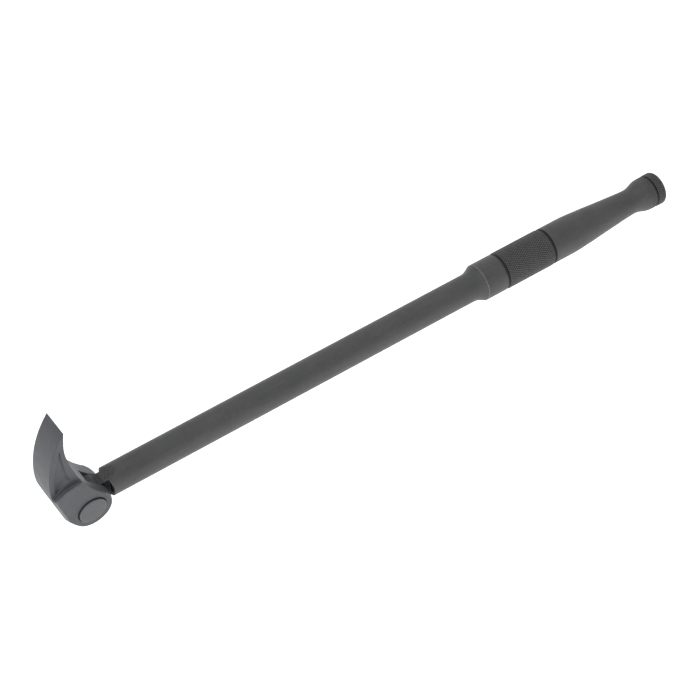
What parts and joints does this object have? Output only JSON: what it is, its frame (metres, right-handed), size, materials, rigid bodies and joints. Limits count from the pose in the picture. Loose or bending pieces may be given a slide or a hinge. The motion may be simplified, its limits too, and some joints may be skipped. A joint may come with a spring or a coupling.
{
  "type": "indexing pry bar",
  "caption": "Pry bar with a curved chisel head that turns on a splined pivot in notches, freed by a push button, on a round bar with a knurled grip.",
  "frame": {"origin": "centre of the flat end face of the butt, the free end of the grip", "axes": "+X along the bar and out of the butt face, away from the head; +Z the way the blade stands at rest; the push button is on the -Y side; the head's pivot axis is parallel to Y at x = -0.4223"},
  "size_m": [0.4455, 0.0252, 0.0892],
  "materials": {
    "bar": "alloy steel, matte dark phosphate, fine diamond knurl on the grip band and the butt ring",
    "pry_head": "forged and machined alloy steel, satin grey, slightly worn edges",
    "lock_gear": "hardened steel, ground, oiled",
    "release_button": "steel, satin grey face, darker side",
    "button_screw": "steel, black oxide",
    "return_spring": "spring steel wire, oiled",
    "end_cap": "steel, satin grey",
    "retaining_ring": "spring steel, black phosphate"
  },
  "bodies": {
    "bar": {"bar": "bar"},
    "head": {"pry_head": "pry_head", "end_cap": "end_cap", "retaining_ring": "retaining_ring", "return_spring": "return_spring"},
    "lock": {"lock_gear": "lock_gear", "release_button": "release_button", "button_screw": "button_screw"}
  },
  "joints": [
    {"name": "head_index", "type": "hinge", "parent": "bar", "child": "head", "pos_m": [-0.4223, 0, 0], "axis": [0, -1, 0], "range_deg": [-15, 165]},
    {"name": "button_press", "type": "slide", "parent": "bar", "child": "lock", "axis": [0, 1, 0], "range_m": [0, 0.0034], "stiffness_N_per_m": 3000, "springref_m": -0.002, "deforming": ["return_spring"]}
  ]
}
